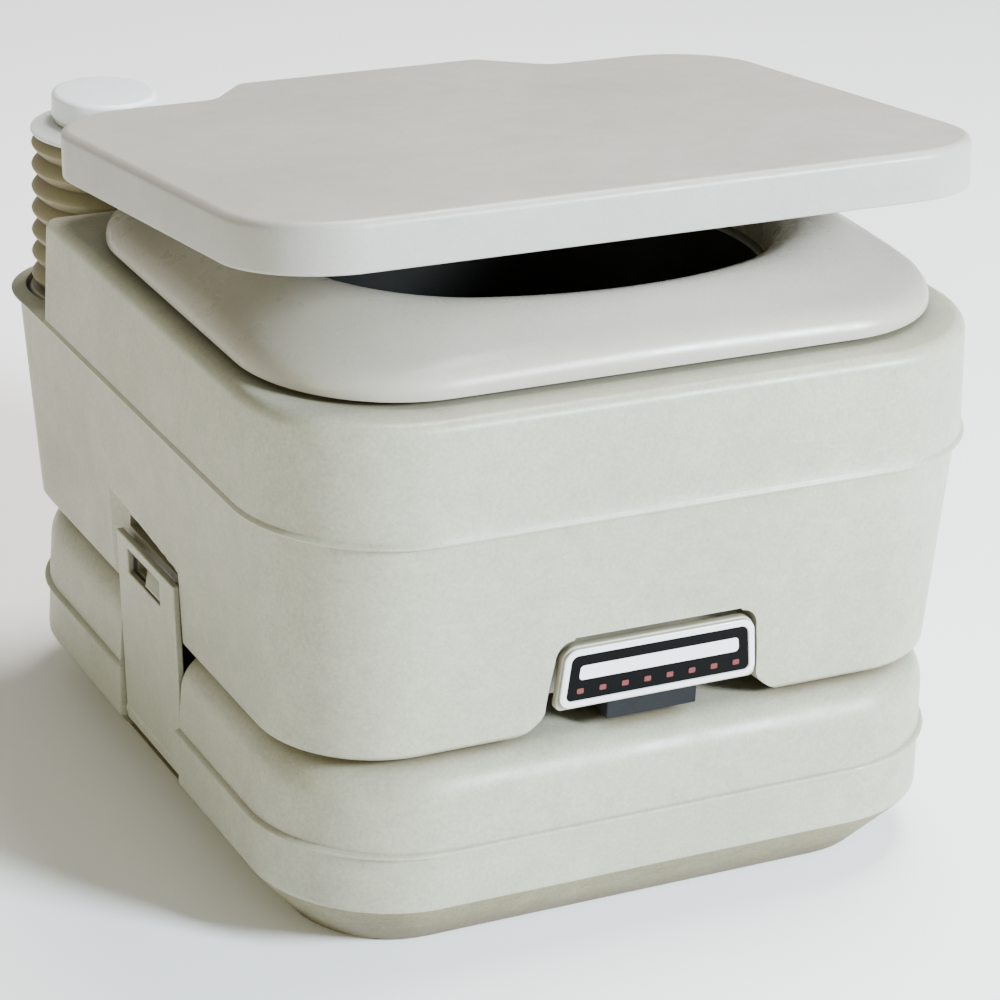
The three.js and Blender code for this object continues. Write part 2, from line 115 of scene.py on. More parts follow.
def mix(tree, factor, first, second, blend="MIX"):
    node = tree.nodes.new("ShaderNodeMix")
    node.data_type = "RGBA"
    node.blend_type = blend
    for socket, value in ((node.inputs[0], factor), (node.inputs[6], first), (node.inputs[7], second)):
        if isinstance(value, bpy.types.NodeSocket):
            tree.links.new(value, socket)
        elif isinstance(value, (int, float)):
            socket.default_value = value
        else:
            socket.default_value = (*value, 1.0)
    return node.outputs[2]


def moulded(name, light, shade, roughness, grain=0.35, speckle=0.06, edge_wear_and_highlight=0.25, soft=0.0,
            crease_shade=(0.13, 0.095, 0.05), reach=0.018, sheen=0.42, crease_shade_strength=0.75):
    """Moulded plastic: slow tint, fine grain, scuffs, pale edges (partly wear, partly a painted highlight) and
    painted shade in the creases.
    """
    material, tree, shader = nodes_of(name)
    here = tree.nodes.new("ShaderNodeTexCoord").outputs["Object"]
    slow = remap(tree, noise(tree, here, 9, 3), 0.35, 0.65, 0, 1)
    colour = mix(tree, slow, light, shade)
    fine = remap(tree, noise(tree, here, 620, 3, 0.7), 0.3, 0.7, 1 - speckle, 1 + speckle)
    blotch = remap(tree, noise(tree, here, 95, 4, 0.65), 0.3, 0.7, 1 - speckle * 0.6, 1 + speckle * 0.6)
    both = tree.nodes.new("ShaderNodeMath")
    both.operation = "MULTIPLY"
    tree.links.new(fine, both.inputs[0])
    tree.links.new(blotch, both.inputs[1])
    tone = tree.nodes.new("ShaderNodeCombineColor")
    for channel in range(3):
        tree.links.new(both.outputs[0], tone.inputs[channel])
    colour = mix(tree, 1.0, colour, tone.outputs[0], "MULTIPLY")
    # Pale sharp convex edges: partly wear, partly a painted highlight standing in for the lit line along the
    # edges
    edge = tree.nodes.new("ShaderNodeNewGeometry").outputs["Pointiness"]
    pale_edge_and_highlight = remap(tree, edge, 0.51, 0.56, 0, edge_wear_and_highlight)
    colour = mix(tree, pale_edge_and_highlight, colour, tuple(min(1.0, c * 1.18 + 0.04) for c in light))
    # Painted shade: an ambient-occlusion mask darkens creases, gaps and faces under overhangs towards the
    # crease_shade colour, out to reach metres
    crease = tree.nodes.new("ShaderNodeAmbientOcclusion")
    crease.inputs["Distance"].default_value = reach
    crease.samples = 6
    painted_crease_shade = remap(tree, crease.outputs["AO"], 0.2, 0.8, crease_shade_strength, 0)
    colour = mix(tree, painted_crease_shade, colour, crease_shade)
    tree.links.new(colour, shader.inputs["Base Color"])
    scuff = remap(tree, noise(tree, here, 38, 6, 0.7), 0.3, 0.7, roughness - 0.07, roughness + 0.1)
    tree.links.new(scuff, shader.inputs["Roughness"])
    bump = tree.nodes.new("ShaderNodeBump")
    bump.inputs["Strength"].default_value = grain
    bump.inputs["Distance"].default_value = 0.00018
    tree.links.new(noise(tree, here, 780, 2, 0.6), bump.inputs["Height"])
    ripple = tree.nodes.new("ShaderNodeBump")
    ripple.inputs["Strength"].default_value = 0.12
    ripple.inputs["Distance"].default_value = 0.0012
    tree.links.new(noise(tree, here, 16, 1), ripple.inputs["Height"])
    tree.links.new(bump.outputs[0], ripple.inputs["Normal"])
    tree.links.new(ripple.outputs[0], shader.inputs["Normal"])
    shader.inputs["Specular IOR Level"].default_value = sheen
    if soft:
        shader.inputs["Subsurface Weight"].default_value = soft
        shader.inputs["Subsurface Scale"].default_value = 0.004
        shader.inputs["Subsurface Radius"].default_value = (1.0, 0.8, 0.6)
    return material


def metal(name, colour, roughness):
    material, tree, shader = nodes_of(name)
    here = tree.nodes.new("ShaderNodeTexCoord").outputs["Object"]
    streaks = remap(tree, noise(tree, here, 260, 4), 0.3, 0.7, 0, 1)
    tone = mix(tree, streaks, colour, tuple(c * 0.8 for c in colour))
    tree.links.new(tone, shader.inputs["Base Color"])
    tree.links.new(remap(tree, noise(tree, here, 900, 3), 0.3, 0.7, roughness - 0.08, roughness + 0.12),
                   shader.inputs["Roughness"])
    shader.inputs["Metallic"].default_value = 1.0
    return material


LOOKS = {
    "shell_plastic": moulded(
        "shell plastic", (0.355, 0.348, 0.272), (0.315, 0.309, 0.232), 0.38, speckle=0.12),
    "lid_plastic": moulded(
        "lid plastic", (0.37, 0.356, 0.325), (0.34, 0.326, 0.295), 0.38, grain=0.25, speckle=0.05),
    "white_plastic": moulded(
        "white plastic", (0.67, 0.7, 0.72), (0.62, 0.65, 0.67), 0.3, grain=0.1, speckle=0.02, soft=0.15,
        crease_shade=(0.5, 0.46, 0.36)),
    "bellows_plastic": moulded(
        "bellows plastic", (0.25, 0.215, 0.13), (0.19, 0.16, 0.09), 0.5, grain=0.2, soft=0.2,
        crease_shade=(0.12, 0.09, 0.05)),
    # Near-black valve plastic: partly the valve parts' own dark colour, partly painted shadow, darkened so the
    # web under the label reads as shade
    "valve_plastic": moulded(
        "valve plastic", (0.02, 0.021, 0.022), (0.012, 0.013, 0.014), 0.85, edge_wear_and_highlight=0.05, sheen=0.03,
        crease_shade=(0.01, 0.01, 0.01)),
    "label_plastic": moulded(
        "label black", (0.002, 0.002, 0.002), (0.003, 0.003, 0.003), 0.65, sheen=0.03, grain=0.06,
        speckle=0.02, edge_wear_and_highlight=0.05, crease_shade=(0.01, 0.01, 0.01)),
    "rubber": moulded(
        "rubber", (0.03, 0.03, 0.03), (0.045, 0.043, 0.04), 0.75, grain=0.5, edge_wear_and_highlight=0.1,
        crease_shade=(0.05, 0.045, 0.04)),
    "steel": metal("steel", (0.6, 0.6, 0.6), 0.32),
    "tube_plastic": moulded(
        "tube plastic", (0.55, 0.58, 0.55), (0.48, 0.52, 0.48), 0.25, grain=0.1, soft=0.3),
    # Painted shade: a darker colour for the holding tank's downward-facing bottom chamfer
    "shaded_skirt": moulded(
        "shaded base", (0.2, 0.182, 0.105), (0.16, 0.145, 0.082), 0.6, grain=0.6, speckle=0.24),
    # The seat's crease shade reaches far, painting the brownish shadow that the lid casts on the seat
    "seat": moulded(
        "seat plastic", (0.4, 0.372, 0.318), (0.365, 0.335, 0.28), 0.28, grain=0.15, speckle=0.04,
        crease_shade=(0.075, 0.04, 0.015), reach=0.032, crease_shade_strength=0.5),
    # Painted shade: a near-black colour for the bowl's inside, standing in for the shadow under the lid
    "bowl": moulded(
        "bowl shade", (0.016, 0.015, 0.013), (0.011, 0.01, 0.009), 0.5, edge_wear_and_highlight=0.05, sheen=0.2,
        crease_shade=(0.01, 0.008, 0.006)),
    "border": moulded("label_border", (0.7, 0.7, 0.7), (0.64, 0.64, 0.64), 0.25, grain=0.06, speckle=0.02),
    "accent": moulded(
        "label accent", (0.11, 0.004, 0.004), (0.085, 0.003, 0.003), 0.3, grain=0.06, speckle=0.02),
}


# ---------------------------------------------------------------- mesh helpers
def finish_piece(name, verts, faces, body, slot, replaced=(), look=None, sharp=SHARP_ANGLE, bevel=0.0):
    """A clean, smooth piece from points in millimetres, with its finish, fixed to its body, and the frame parts
    it replaces hidden.
    """
    mesh = bpy.data.meshes.new(name)
    mesh.from_pydata([Vector(v) * MM for v in verts], [], faces)
    mesh.validate()
    tidy = bmesh.new()
    tidy.from_mesh(mesh)
    bmesh.ops.remove_doubles(tidy, verts=tidy.verts, dist=1e-6)
    bmesh.ops.recalc_face_normals(tidy, faces=tidy.faces)
    tidy.to_mesh(mesh)
    tidy.free()
    piece = bpy.data.objects.new(name, mesh)
    bpy.context.scene.collection.objects.link(piece)
    piece.data.materials.append(LOOKS[look or slot])
    if bevel:
        rounding = piece.modifiers.new("rounded edges", "BEVEL")
        rounding.width = bevel * MM
        rounding.segments = 3
        rounding.limit_method = "ANGLE"
        rounding.angle_limit = math.radians(35)
    for polygon in mesh.polygons:
        polygon.use_smooth = True
    mesh.set_sharp_from_angle(angle=math.radians(sharp))
    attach(piece, body)
    if replaced:
        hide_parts(*replaced)
    return piece


def skin(rings, joined=False):
    """Quads over a stack of rings of equal count, capped at both ends or joined from the last to the first."""
    count = len(rings[0])
    verts = [point for ring in rings for point in ring]
    faces = []
    levels = len(rings) if joined else len(rings) - 1
    for level in range(levels):
        low = level * count
        high = (level + 1) % len(rings) * count
        for i in range(count):
            j = (i + 1) % count
            faces.append((low + i, low + j, high + j, high + i))
    if not joined:
        faces.append(tuple(reversed(range(count))))
        faces.append(tuple(range((len(rings) - 1) * count, len(rings) * count)))
    return verts, faces


def merged(*parts):
    verts, faces = [], []
    for more_verts, more_faces in parts:
        start = len(verts)
        verts += more_verts
        faces += [tuple(i + start for i in face) for face in more_faces]
    return verts, faces


def stations(edges, reach=2.4, spacing=0.45):
    """Close positions about each feature edge, so that a wall can be pressed in crisply there."""
    places = []
    for edge in edges:
        steps = round(2 * reach / spacing)
        places += [edge - reach + 2 * reach * step / steps for step in range(steps + 1)]
    return places


def filled(start, end, places, wide=8):
    """Positions from start up to end with the given places between, and even steps across each wide gap."""
    stops = [start] + sorted(places, reverse=end < start) + [end]
    result = []
    for here, there in zip(stops, stops[1:]):
        steps = wide if abs(there - here) > 1.5 else 1
        result += [here + (there - here) * step / steps for step in range(steps)]
    return result


def rounded(half, front, back, corner, back_corner=None, side=(), ahead=(), corners=CORNER_STEPS, wide=8):
    """A rounded rectangle as points in order; its straight sides and front also take the given places."""
    back_corner = back_corner or corner
    centres = ((half - back_corner, back - back_corner, back_corner),
               (back_corner - half, back - back_corner, back_corner),
               (corner - half, front + corner, corner),
               (half - corner, front + corner, corner))
    ring = []
    for quarter, (x, y, radius) in enumerate(centres):
        for step in range(corners):
            angle = (quarter + step / corners) * math.pi / 2
            ring.append((x + radius * math.cos(angle), y + radius * math.sin(angle)))
        next_x, next_y, _ = centres[(quarter + 1) % 4]
        if quarter in (0, 2):
            wall, places = ((back, ()), (front, ahead))[quarter // 2]
            ring += [(place, wall) for place in filled(x, next_x, places, wide)]
        else:
            wall = (-half, half)[quarter // 2]
            ring += [(wall, place) for place in filled(y, next_y, side, wide)]
    return ring


def ellipse_under(ring, a, b, y, box):
    """Points on an ellipse in the same directions as the ring's points."""
    half, front, back = box
    middle, depth = (front + back) / 2, (back - front) / 2
    angles = [math.atan2((point[1] - middle) / depth, point[0] / half) for point in ring]
    return [(a * math.cos(angle), y + b * math.sin(angle)) for angle in angles]


def between(first, second, t):
    return [(p[0] + (q[0] - p[0]) * t, p[1] + (q[1] - p[1]) * t) for p, q in zip(first, second)]


def raised(ring, z):
    return [(x, y, z) for x, y in ring]


def smooth(value):
    value = min(1.0, max(0.0, value))
    return value * value * (3 - 2 * value)


def blend_levels(levels, zones=(), fine=0.9, coarse=9.0):
    """Fill in levels (z, numbers...) between the given ones, closely where they cross a zone."""
    filled_in = []
    for low, high in zip(levels, levels[1:]):
        stops = [low[0], high[0]] + [z for zone in zones for z in zone if low[0] < z < high[0]]
        stops.sort()
        for start, end in zip(stops, stops[1:]):
            close = any(zone[0] <= (start + end) / 2 <= zone[1] for zone in zones)
            steps = max(1, round((end - start) / (fine if close else coarse)))
            for step in range(steps):
                t = (start + (end - start) * step / steps - low[0]) / (high[0] - low[0])
                filled_in.append(tuple(a + (b - a) * t for a, b in zip(low, high)))
    filled_in.append(levels[-1])
    return filled_in


def turned(profile, x=0.0, y=0.0, sides=96):
    """Rings about the upright axis at (x, y), one for each (radius, height) point."""
    rings = []
    for radius, z in profile:
        angles = [2 * math.pi * i / sides for i in range(sides)]
        rings.append([(x + radius * math.cos(a), y + radius * math.sin(a), z) for a in angles])
    return rings


def rounded_profile(points, radius=0.8, steps=4):
    """Round the corners of an open profile."""
    result = [points[0]]
    for before, here, after in zip(points, points[1:], points[2:]):
        a, b, c = Vector(before), Vector(here), Vector(after)
        reach = min(radius, (a - b).length / 2.2, (c - b).length / 2.2)
        start, end = b + (a - b).normalized() * reach, b + (c - b).normalized() * reach
        for step in range(steps + 1):
            t = step / steps
            result.append(tuple(start * (1 - t) ** 2 + b * 2 * t * (1 - t) + end * t ** 2))
    result.append(points[-1])
    return result


def turned_piece(name, profile, centre, body, slot, replaced, joined=False, radius=0.8):
    shape = profile if joined else rounded_profile(profile, radius)
    return finish_piece(name, *skin(turned(shape, *centre), joined), body, slot, replaced)


def filleted(corners, steps=8):
    """A closed outline of (u, v, radius) corners with round corners."""
    outline = []
    count = len(corners)
    for i, (u, v, radius) in enumerate(corners):
        here = Vector((u, v))
        before = Vector(corners[i - 1][:2])
        after = Vector(corners[(i + 1) % count][:2])
        to_before, to_after = (before - here).normalized(), (after - here).normalized()
        if radius <= 0:
            outline.append((u, v))
            continue
        angle = to_before.angle(to_after)
        reach = radius / math.tan(angle / 2)
        start, end = here + to_before * reach, here + to_after * reach
        centre = here + (to_before + to_after).normalized() * (radius / math.sin(angle / 2))
        first, last = start - centre, end - centre
        turn = first.angle_signed(last)
        for step in range(steps + 1):
            spin = Matrix.Rotation(-turn * step / steps, 2)
            outline.append(tuple(centre + spin @ first))
    return outline


def slab(outline, low, high, place):
    """A plate between two depths; place turns (u, v, depth) into a point."""
    count = len(outline)
    verts = [place(u, v, low) for u, v in outline] + [place(u, v, high) for u, v in outline]
    faces = [(i, (i + 1) % count, count + (i + 1) % count, count + i) for i in range(count)]
    faces += [tuple(reversed(range(count))), tuple(range(count, 2 * count))]
    return verts, faces


def cut(piece, parts, overlapping=False):
    """Take the closed parts away from a piece."""
    tools = []
    for number, (verts, faces) in enumerate(parts):
        mesh = bpy.data.meshes.new("cutter")
        mesh.from_pydata([Vector(v) * MM for v in verts], [], faces)
        tidy = bmesh.new()
        tidy.from_mesh(mesh)
        bmesh.ops.recalc_face_normals(tidy, faces=tidy.faces)
        tidy.to_mesh(mesh)
        tidy.free()
        tool = bpy.data.objects.new(f"cutter {number}", mesh)
        bpy.context.scene.collection.objects.link(tool)
        tools.append(tool)
        carve = piece.modifiers.new(f"cut {number}", "BOOLEAN")
        carve.operation = "DIFFERENCE"
        carve.solver = "EXACT"
        carve.use_self = overlapping
        carve.object = tool
    bpy.context.view_layer.update()
    result = bpy.data.meshes.new_from_object(piece.evaluated_get(bpy.context.evaluated_depsgraph_get()))
    piece.modifiers.clear()
    piece.data = result
    for tool in tools:
        bpy.data.objects.remove(tool)
    tidy = bmesh.new()
    tidy.from_mesh(result)
    bmesh.ops.remove_doubles(tidy, verts=tidy.verts, dist=2e-6)
    bmesh.ops.dissolve_degenerate(tidy, edges=tidy.edges, dist=1e-6)
    tidy.to_mesh(result)
    tidy.free()
    result.validate()
    for polygon in result.polygons:
        polygon.use_smooth = True
    result.set_sharp_from_angle(angle=math.radians(SHARP_ANGLE))


def box_part(x0, x1, y0, y1, z0, z1):
    return slab([(x0, y0), (x1, y0), (x1, y1), (x0, y1)], z0, z1, lambda u, v, d: (u, v, d))


# ---------------------------------------------------------------- features pressed into the tank walls
def channel_depth(y, z, low, high, soft=1.3):
    """How far a point lies within the latch channel, from 0 outside it to 1."""
    front, back = CHANNEL_Y
    return (smooth((y - front) / soft) * smooth((back - y) / soft)
            * smooth((z - low) / soft) * smooth((high - z) / soft))


def press_recess(x, y, z):
    """The latch channel in the flush tank: a steep front end, a sloped back wall and a sloped lintel."""
    if abs(x) < RECESS_FLOOR:
        return x
    front, back = CHANNEL_Y
    lintel = LINTEL + 8 * min(1.0, max(0.0, (y - front) / (back - front)))
    ahead = smooth((y - front) / 1.3)
    behind = min(1.0, max(0.0, (RECESS_BACK - y) / (RECESS_BACK - back)))
    above = min(1.0, max(0.0, (lintel - z) / max(lintel - LINTEL, 0.9)))
    mask = ahead * min(behind, above)
    return math.copysign(abs(x) + (RECESS_FLOOR - abs(x)) * mask, x)


def press_channel(x, y, z, floor, low, high):
    """The latch channel in the holding tank, pressed in to a floor between two heights."""
    if abs(x) < floor:
        return x
    mask = channel_depth(y, z, low, high)
    return math.copysign(abs(x) + (floor - abs(x)) * mask, x)


def arch_width(z):
    """Half the width of the front recess at a height, its rounded top corners included."""
    width = 51 + 15 * max(0.0, (ARCH_WAIST - z) / 13) ** 2 - 3 * smooth((z - ARCH_WAIST) / 30)
    up = min(ARCH_CORNER, max(0.0, z - (ARCH_TOP - ARCH_CORNER)))
    return width - ARCH_CORNER + math.sqrt(ARCH_CORNER ** 2 - up ** 2)


def arch_places(z):
    edge = arch_width(z)
    return stations((-edge, edge))


def arch_mask(x, z, soft=1.4):
    """How far a point lies within the front recess, from 0 outside it to 1."""
    return smooth((arch_width(z) - abs(x)) / soft + 0.5) * smooth((ARCH_TOP - z) / soft + 0.5)


def press_arch(x, y, z):
    if y > ARCH_BACK or z > ARCH_TOP + 2:
        return y
    return y + (ARCH_BACK - y) * arch_mask(x, z)


# ---------------------------------------------------------------- holding tank
def holding_tank():
    levels = [(0, 139, -150, 166, 43), (1.2, 141.6, -152.6, 168.6, 45.5), (CHAMFER - 1.5, 162, -173, 189, 61),
              (CHAMFER, 163, -174, 190, 62), (CHAMFER + 2, 163.4, -174.2, 190.2, 63),
              (RIDGE - 2.2, 163.5, -174, 190, 65), (RIDGE - 1.2, 163.8, -174.2, 190.2, 65.2),
              (RIDGE - 1, 165.2, -175.4, 191.4, 66), (RIDGE - 0.3, 165.8, -175.5, 191.8, 66),
              (RIDGE + 0.5, 165.3, -175.2, 191.5, 66), (RIDGE + 1.2, 163.5, -174, 190, 65),
              (74, 162.8, -173.3, 189.3, 64)]
    levels = blend_levels(levels, ((20.5, 25),), fine=0.6)
    side = stations(CHANNEL_Y)
    for step in range(1, 13):
        angle = step / 12 * math.pi / 2
        inset = 17 * (1 - math.cos(angle))
        levels.append((74 + 18 * math.sin(angle), 162.8 - inset, -173.3 + inset, 189.3 - inset, 64 - inset))
    rings = []
    for z, half, front, back, corner in levels:
        ring = rounded(half, front, back, corner, side=side)
        rings.append([(press_channel(x, y, z, 150.5, 22, 200), y, z) for x, y in ring])
    flat = [(x, y) for x, y, _ in rings[-1]]
    inlet = ellipse_under(flat, *OUTLET, (145, -156, 172))
    for t in (0.3, 0.6, 0.9, 0.97):
        rings.append(raised(between(flat, inlet, t), HOLDING_TOP))
    rings.append(raised(inlet, HOLDING_TOP - 1))
    rings.append(raised(inlet, 12))
    piece = finish_piece("holding_tank_shell", *skin(rings), "tanks", "shell_plastic", ("holding_tank",))
    bore = turned([(0.5, 120), (28, 120), (28, 215), (0.5, 215)])
    cut(piece, [skin(along_back(bore))])
    finish_piece("spout_neck", *spout_neck(), "tanks", "shell_plastic")
    # Painted shade: the faces of the bottom chamfer take the darker shaded-base colour
    piece.data.materials.append(LOOKS["shaded_skirt"])
    for polygon in piece.data.polygons:
        if polygon.center.z < (CHAMFER - 0.6) * MM and math.hypot(polygon.center.x, polygon.center.y) > 0.1:
            polygon.material_index = 1


def along_back(rings):
    """Turn rings made about the upright axis so that they run to the back at the spout's height."""
    return [[(x, height, SPOUT_HEIGHT + y) for x, y, height in ring] for ring in rings]


def spout_neck():
    profile = rounded_profile([(26, 182), (30, 182), (30, 204), (26, 204)], 0.6) + [(26, 182)]
    return skin(along_back(turned(profile[:-1])), joined=True)


def gripped(rings, centre, rim, top, depth):
    """Turned rings with grips pressed in all round, outside the rim radius and below the top."""
    result = []
    for ring in rings:
        pressed = []
        for step, (x, y, height) in enumerate(ring):
            across, along = x - centre[0], y - centre[1]
            away = math.hypot(across, along)
            pull = 0.0
            if away > rim and height < top:
                pull = depth * (0.5 - 0.5 * math.cos(step / CAP_STEPS * CAP_GRIPS * 2 * math.pi))
            scale = (away - pull) / away if away else 1.0
            pressed.append((centre[0] + across * scale, centre[1] + along * scale, height))
        result.append(pressed)
    return result


def discharge_cap():
    profile = rounded_profile([(0, 206.2), (30.4, 206.2), (30.4, 192), (34, 192), (34, 205), (32, 208),
                               (12, 208), (11, 207), (0, 207)], 0.9)
    rings = along_back(gripped(turned(profile, sides=CAP_STEPS), (0, 0), 33, 204, 0.7))
    finish_piece("discharge_cap_shell", *skin(rings), "discharge_cap", "shell_plastic", ("discharge_cap",))


# ---------------------------------------------------------------- flush tank
def flush_tank():
    side = stations((*CHANNEL_Y, RECESS_BACK))
    foot = rounded(157.5, -158.5, 174.5, 48, 34, side, arch_places(FLUSH_BOTTOM))
    bottom = ellipse_under(foot, *OUTLET, (157.5, -158.5, 174.5))
    levels = [(FLUSH_BOTTOM, 156.5, -157.5, 173.5, 47, 33), (94.5, 159, -160, 176, 49.5, 34.5),
              (95.6, 161, -162, 178, 51, 35.5), (97.4, 162.1, -163.1, 179.2, 52, 36),
              (BAND - 1.2, 169.7, -169.8, 193.7, 62.8, 41.8), (BAND - 0.7, 170.2, -170.2, 194, 63, 42),
              (BAND - 0.5, 172.2, -172.2, 195.6, 65, 43.5), (BAND, 173.1, -173, 196, 66, 44),
              (BAND + 0.9, 173.5, -173.3, 196, 66, 44), (BAND + 1.8, 173, -172.8, 196, 66, 44),
              (BAND + 2.6, 172.3, -172.2, 195.9, 66, 44), (242.5, 171.5, -168.6, 195, 65, 44)]
    levels = blend_levels(levels, ((97, 108), (128, 141)))
    for step in range(1, 9):
        angle = step / 8 * math.pi / 2
        inset = 6 * (1 - math.cos(angle))
        height = 242.5 + 6 * math.sin(angle)
        levels.append((height, 171.5 - inset, -168.6 + inset, 195 - inset, 65 - inset, 44 - inset))
    rings = [raised(bottom, FLUSH_BOTTOM)]
    for z, half, front, back, corner, back_corner in levels:
        ring = rounded(half, front, back, corner, back_corner, side, arch_places(z))
        rings.append([(press_recess(x, y, z), press_arch(x, y, z), z) for x, y in ring])
    deck = [(x, y) for x, y, _ in rings[-1]]
    box = (165.5, -162.6, 189)
    edge = ellipse_under(deck, 119, 96, SEAT_HOLE[2], box)
    for t in (0.25, 0.5, 0.75, 1.0):
        rings.append(raised(between(deck, edge, t), DECK))
    bowl = [(247.6, 117, 94, -19), (245.5, 116, 93, -19), (240, 113, 91, -19), (222, 107, 86.5, -18),
            (200, 99, 80, -16), (175, 86, 72.5, -13), (150, 70, 63, -10), (132, 57, 54.5, -7),
            (120, 49, 48.5, -5), (112, 47, 47, -5)]
    for z, a, b, y in bowl:
        rings.append(raised(ellipse_under(deck, a, b, y, box), z))
    verts, faces = skin(rings, joined=True)
    piece = finish_piece("flush_tank_shell", verts, faces, "tanks", "shell_plastic", ("flush_tank",))
    slit = box_part(-172, -151, -25, 39, 125, 130.6)
    pocket = box_part(-163, -153, -9.5, 28.5, 107.4, 118.6)
    cut(piece, [merged(valve_channel(), fill_bore(), both_sides(slit), both_sides(pocket))], overlapping=True)
    cut(piece, [pump_corner(), pump_pocket()])
    # Painted shade: the bowl's inner faces inside the seat opening take the near-black bowl-shade colour
    piece.data.materials.append(LOOKS["bowl"])
    for polygon in piece.data.polygons:
        x, y, z = polygon.center / MM
        if 108 < z < 246.9 and (x / 117.6) ** 2 + ((y - SEAT_HOLE[2]) / 94.6) ** 2 < 1:
            polygon.material_index = 1


def pump_corner():
    """The corner cut out of the flush tank round the pump, flared where it meets the deck."""
    rings = []
    for z, grow in ((197, 0), (199, 0), (244.5, 0), (246.8, 0.5), (248, 1.6), (248.6, 3), (262, 3)):
        ring = rounded(75 + grow, -73 - grow, 73, 38 + grow, corners=16)
        rings.append([(x - 160, y + 190, z) for x, y in ring])
    return skin(rings)


def pump_pocket():
    """The round pocket under the pump corner that takes the pump's base."""
    profile = [(0.5, 189.9), (36.3, 189.9), (36.5, 190.3), (36.5, 196), (37.5, 198), (37.5, 262), (0.5, 262)]
    return skin(turned(profile, *PUMP))


def valve_channel():
    return box_part(-68, 68, -157, 63, 80, 107)


def fill_bore():
    return skin(turned([(0.5, 230), (17, 230), (17, 262), (0.5, 262)], *FILL, sides=48))


def to_side(u, v, depth):
    return (depth, u, v)


def eye_plate(foot, start, end, x0, x1):
    """A hinge ear across x: a foot of (y, z) points joined to an arc about the hinge."""
    arc = []
    for step in range(17):
        angle = math.radians(start + (end - start) * step / 16)
        arc.append((HINGE[0] + EYE * math.cos(angle), HINGE[1] + EYE * math.sin(angle)))
    return slab(foot + arc, x0, x1, to_side)


def both_sides(part):
    verts, faces = part
    return merged(part, ([(-x, y, z) for x, y, z in verts], [tuple(reversed(face)) for face in faces]))


def tank_trim():
    """The deck's hinge bosses, the filler neck and the lugs that the side latches hook over."""
    foot = [(145, DECK - 1), (169, DECK - 1)]
    bosses = merged(both_sides(eye_plate(foot, 0, 180, 24, 33)), both_sides(eye_plate(foot, 0, 180, 54, 63)))
    finish_piece("hinge_bosses", *bosses, "tanks", "shell_plastic", bevel=0.7)
    neck = rounded_profile([(17, DECK - 1), (20, DECK - 1), (20, 254.8), (17, 254.8)], 0.5)
    finish_piece("filler_neck", *skin(turned(neck, *FILL), joined=True), "tanks", "shell_plastic")
    inner = -152
    front_end = [(inner, 108.3), (-164.6, 108.3), (-165.3, 109.2), (-160.2, 117.6), (inner, 117.9)]
    back_end = [(inner, 108.3), (-156, 108.3), (-156.5, 109.2), (-154.5, 113), (inner, 113.4)]
    ends = ((-8.5, front_end), (8, front_end), (27.5, back_end))
    sections = [[(x, y, z) for x, z in end] for y, end in ends]
    lug = skin(sections)
    finish_piece("latch_lugs", *both_sides(lug), "tanks", "shell_plastic", bevel=0.5)


# ---------------------------------------------------------------- seat and lid
def seat():
    base = rounded(163, -152, 118, 67, corners=24, wide=30)
    inner = ellipse_under(base, *SEAT_HOLE, (163, -152, 118))
    top = [(0, 251.4), (0, 253.5), (0.012, 256.4), (0.05, 259.8), (0.12, 262.8), (0.22, 265.9), (0.32, 268.8),
           (0.42, 272), (0.52, 274.7), (0.62, 276.8), (0.7, 277.3), (0.78, 277), (0.86, 275.2),
           (0.92, 272.4), (0.965, 268.5), (0.99, 264), (1, 259), (1, 252.5), (0.985, 251)]
    under = [(0.93, 251), (0.915, 256), (0.89, 265), (0.82, 271.5), (0.72, 273.8), (0.58, 272.4),
             (0.42, 269), (0.24, 262.6), (0.12, 256), (0.07, 252), (0.02, 251)]
    rings = [raised(between(base, inner, t), z) for t, z in top + under]
    ears = both_sides(eye_plate([(117, 264), (108, 262), (108, 253.5)], -90, 110, 44, 53))
    verts, faces = skin(rings, joined=True)
    finish_piece("seat_ring", verts, faces, "seat", "shell_plastic", ("seat",), look="seat", sharp=60)
    finish_piece("seat_hinge_ears", *ears, "seat", "shell_plastic", bevel=0.8)


def raised_lid(point):
    """From the shut position to the ajar one."""
    y, z = point[1] - HINGE[0], point[2] - HINGE[1]
    cos, sin = math.cos(AJAR), math.sin(AJAR)
    return (point[0], HINGE[0] + y * cos + z * sin, HINGE[1] - y * sin + z * cos)


